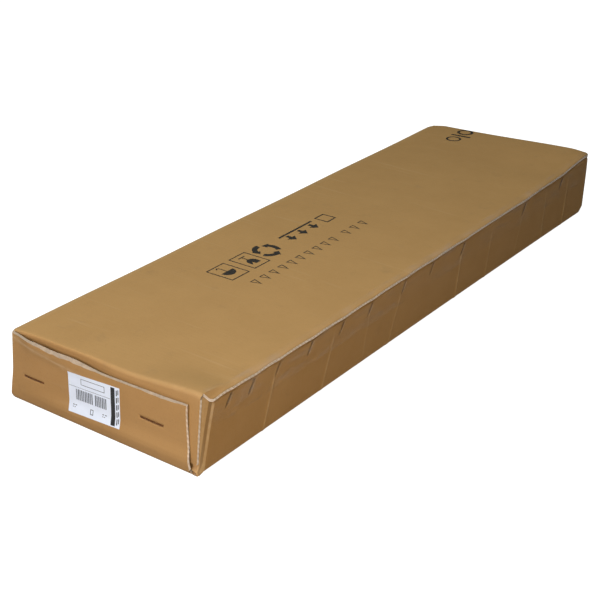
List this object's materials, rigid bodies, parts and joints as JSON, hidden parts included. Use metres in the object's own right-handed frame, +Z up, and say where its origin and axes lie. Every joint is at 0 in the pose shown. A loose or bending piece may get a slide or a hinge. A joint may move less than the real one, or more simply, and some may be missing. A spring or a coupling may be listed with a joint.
{
  "type": "corrugated shipping carton",
  "caption": "Long flat corrugated carton, folded from one blank with full-overlap stapled ends and a taped lid seam, that packs one-metre lengths of trunking for shipping.",
  "frame": {"origin": "centre of the base, on the surface that the carton lies on", "axes": "+X across the width from the lid's hinge to its taped seam, +Y along the length away from the labelled end, +Z up"},
  "size_m": [0.2801, 1.0273, 0.0922],
  "materials": {
    "board": "kraft brown, matt, faintly fluted",
    "tape": "clear glossy packing film",
    "paper": "white label paper, semi-matt",
    "staple": "copper-coated steel wire, dulled"
  },
  "bodies": {
    "root": {"carton": "board", "seam_tape": "tape", "label": "paper", "staple_near_left": "staple", "staple_near_right": "staple", "staple_far_left": "staple", "staple_far_right": "staple"}
  },
  "joints": []
}
